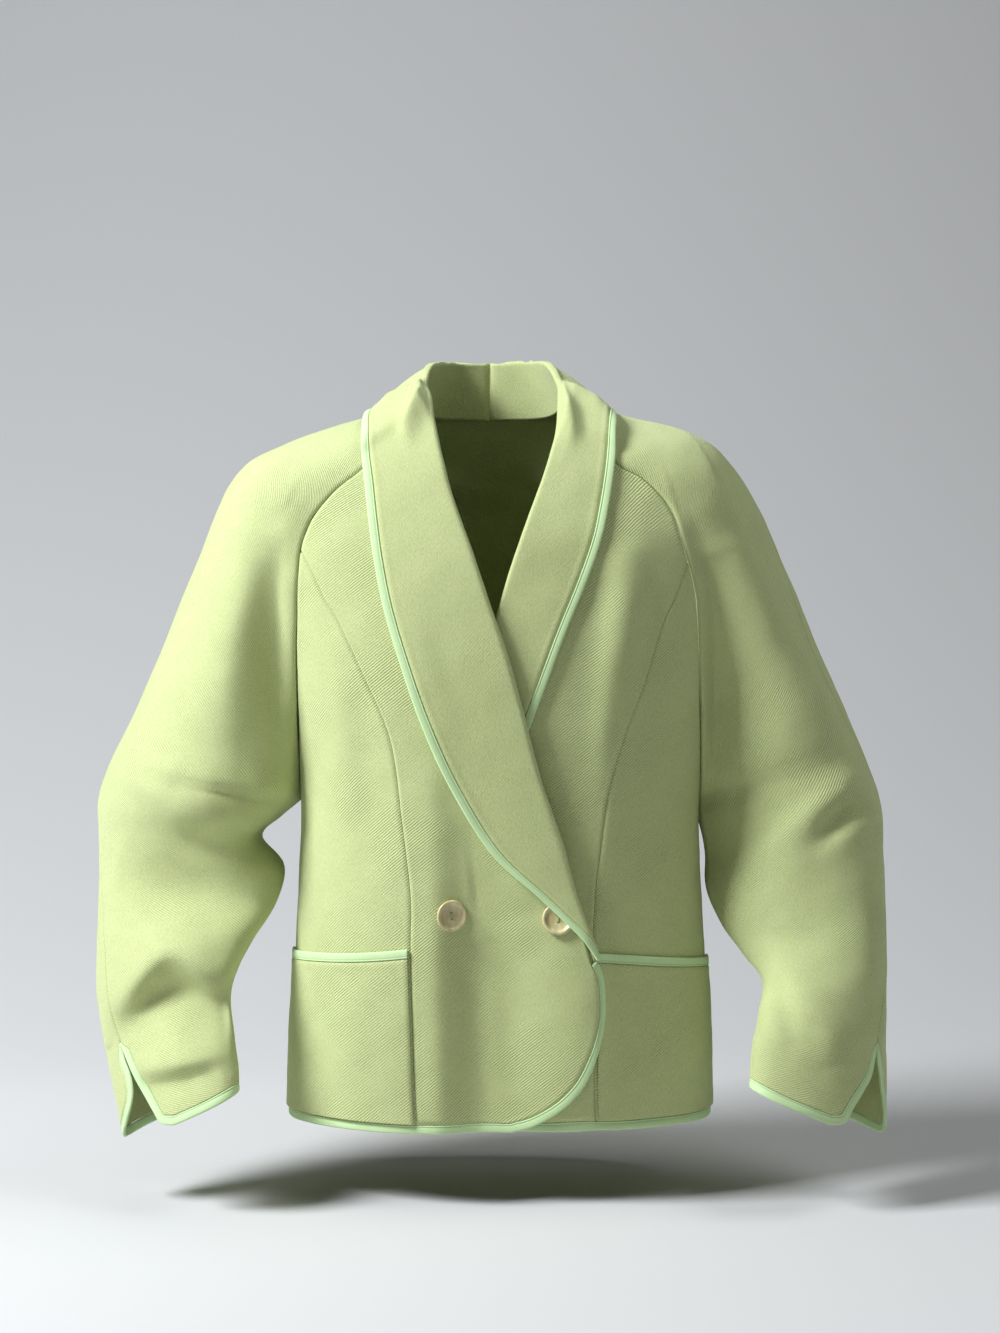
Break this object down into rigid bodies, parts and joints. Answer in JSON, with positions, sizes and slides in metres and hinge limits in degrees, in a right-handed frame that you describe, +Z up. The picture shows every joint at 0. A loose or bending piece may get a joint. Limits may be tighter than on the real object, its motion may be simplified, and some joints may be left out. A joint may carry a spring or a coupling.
{
  "type": "double-breasted jacket",
  "caption": "Hip-length wool jacket worn hollow: raglan sleeves, shawl collar, wrap front with round buttons, patch pockets and bound edges.",
  "frame": {"origin": "centre of the neck at the level of the shoulders, where the wearer holds the jacket up", "axes": "+Z up, -Y out of the jacket's front, +X to the wearer's left"},
  "size_m": [0.7335, 0.2702, 0.7163],
  "materials": {
    "wool": "napped wool twill, lime green",
    "binding": "plain bias binding, pale mint green, slight sheen",
    "button": "satin, cream to tan, two holes"
  },
  "bodies": {
    "root": {"front_right": "wool", "front_left": "wool", "side_front_right": "wool", "side_front_left": "wool", "back": "wool", "sleeve_front_right": "wool", "sleeve_back_right": "wool", "sleeve_front_left": "wool", "sleeve_back_left": "wool", "collar_right": "wool", "collar_left": "wool", "pocket_right": "wool", "pocket_left": "wool", "binding_front_right": "binding", "binding_front_left": "binding", "binding_hem_back": "binding", "binding_collar_right": "binding", "binding_collar_left": "binding", "binding_pocket_right": "binding", "binding_pocket_left": "binding", "binding_cuff_front_right": "binding", "binding_cuff_back_right": "binding", "binding_cuff_front_left": "binding", "binding_cuff_back_left": "binding", "button_decorative": "button", "button_fastening": "button"}
  },
  "joints": []
}
